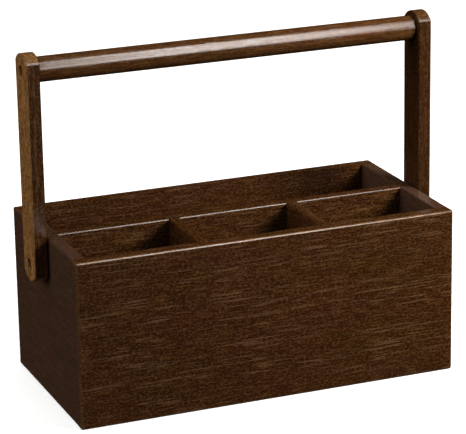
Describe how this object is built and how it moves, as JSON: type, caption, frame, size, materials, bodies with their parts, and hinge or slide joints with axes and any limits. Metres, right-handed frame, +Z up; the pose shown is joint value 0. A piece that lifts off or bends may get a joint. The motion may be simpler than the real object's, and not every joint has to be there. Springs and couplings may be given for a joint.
{
  "type": "desk organizer",
  "caption": "Stained wooden desk organizer: open box with a long rear slot, small square front bins and a tall swing handle with a round grip.",
  "frame": {"origin": "centre of the underside of the box, on the surface it stands on", "axes": "+X to the right along the long front, +Y from the front bins to the rear slot, +Z up"},
  "size_m": [0.2478, 0.116, 0.204],
  "materials": {
    "box_wood": "dark brown stain under satin lacquer",
    "divider_wood": "dark brown stain under satin lacquer",
    "handle_wood": "dark brown stain under gloss lacquer",
    "pin_wood": "plain, unstained",
    "brad_steel": "bright",
    "screw_steel": "browned",
    "washer_brass": "satin"
  },
  "bodies": {
    "box": {"front_panel": "box_wood", "back_panel": "box_wood", "left_end_panel": "box_wood", "right_end_panel": "box_wood", "bottom_panel": "box_wood", "long_divider": "divider_wood", "left_cross_divider": "divider_wood", "right_cross_divider": "divider_wood", "front_left_corner_pins": "pin_wood", "front_right_corner_pins": "pin_wood", "back_left_corner_pins": "pin_wood", "back_right_corner_pins": "pin_wood", "bottom_brads": "brad_steel", "left_pivot_screw": "screw_steel", "right_pivot_screw": "screw_steel", "left_pivot_washer": "washer_brass", "right_pivot_washer": "washer_brass"},
    "handle": {"left_arm": "handle_wood", "right_arm": "handle_wood", "grip_rod": "handle_wood", "left_grip_screw": "screw_steel", "right_grip_screw": "screw_steel"}
  },
  "joints": [
    {"name": "handle_hinge", "type": "hinge", "parent": "box", "child": "handle", "pos_m": [0, 0, 0.0815], "axis": [1, 0, 0], "range_deg": [-125, 125]}
  ]
}
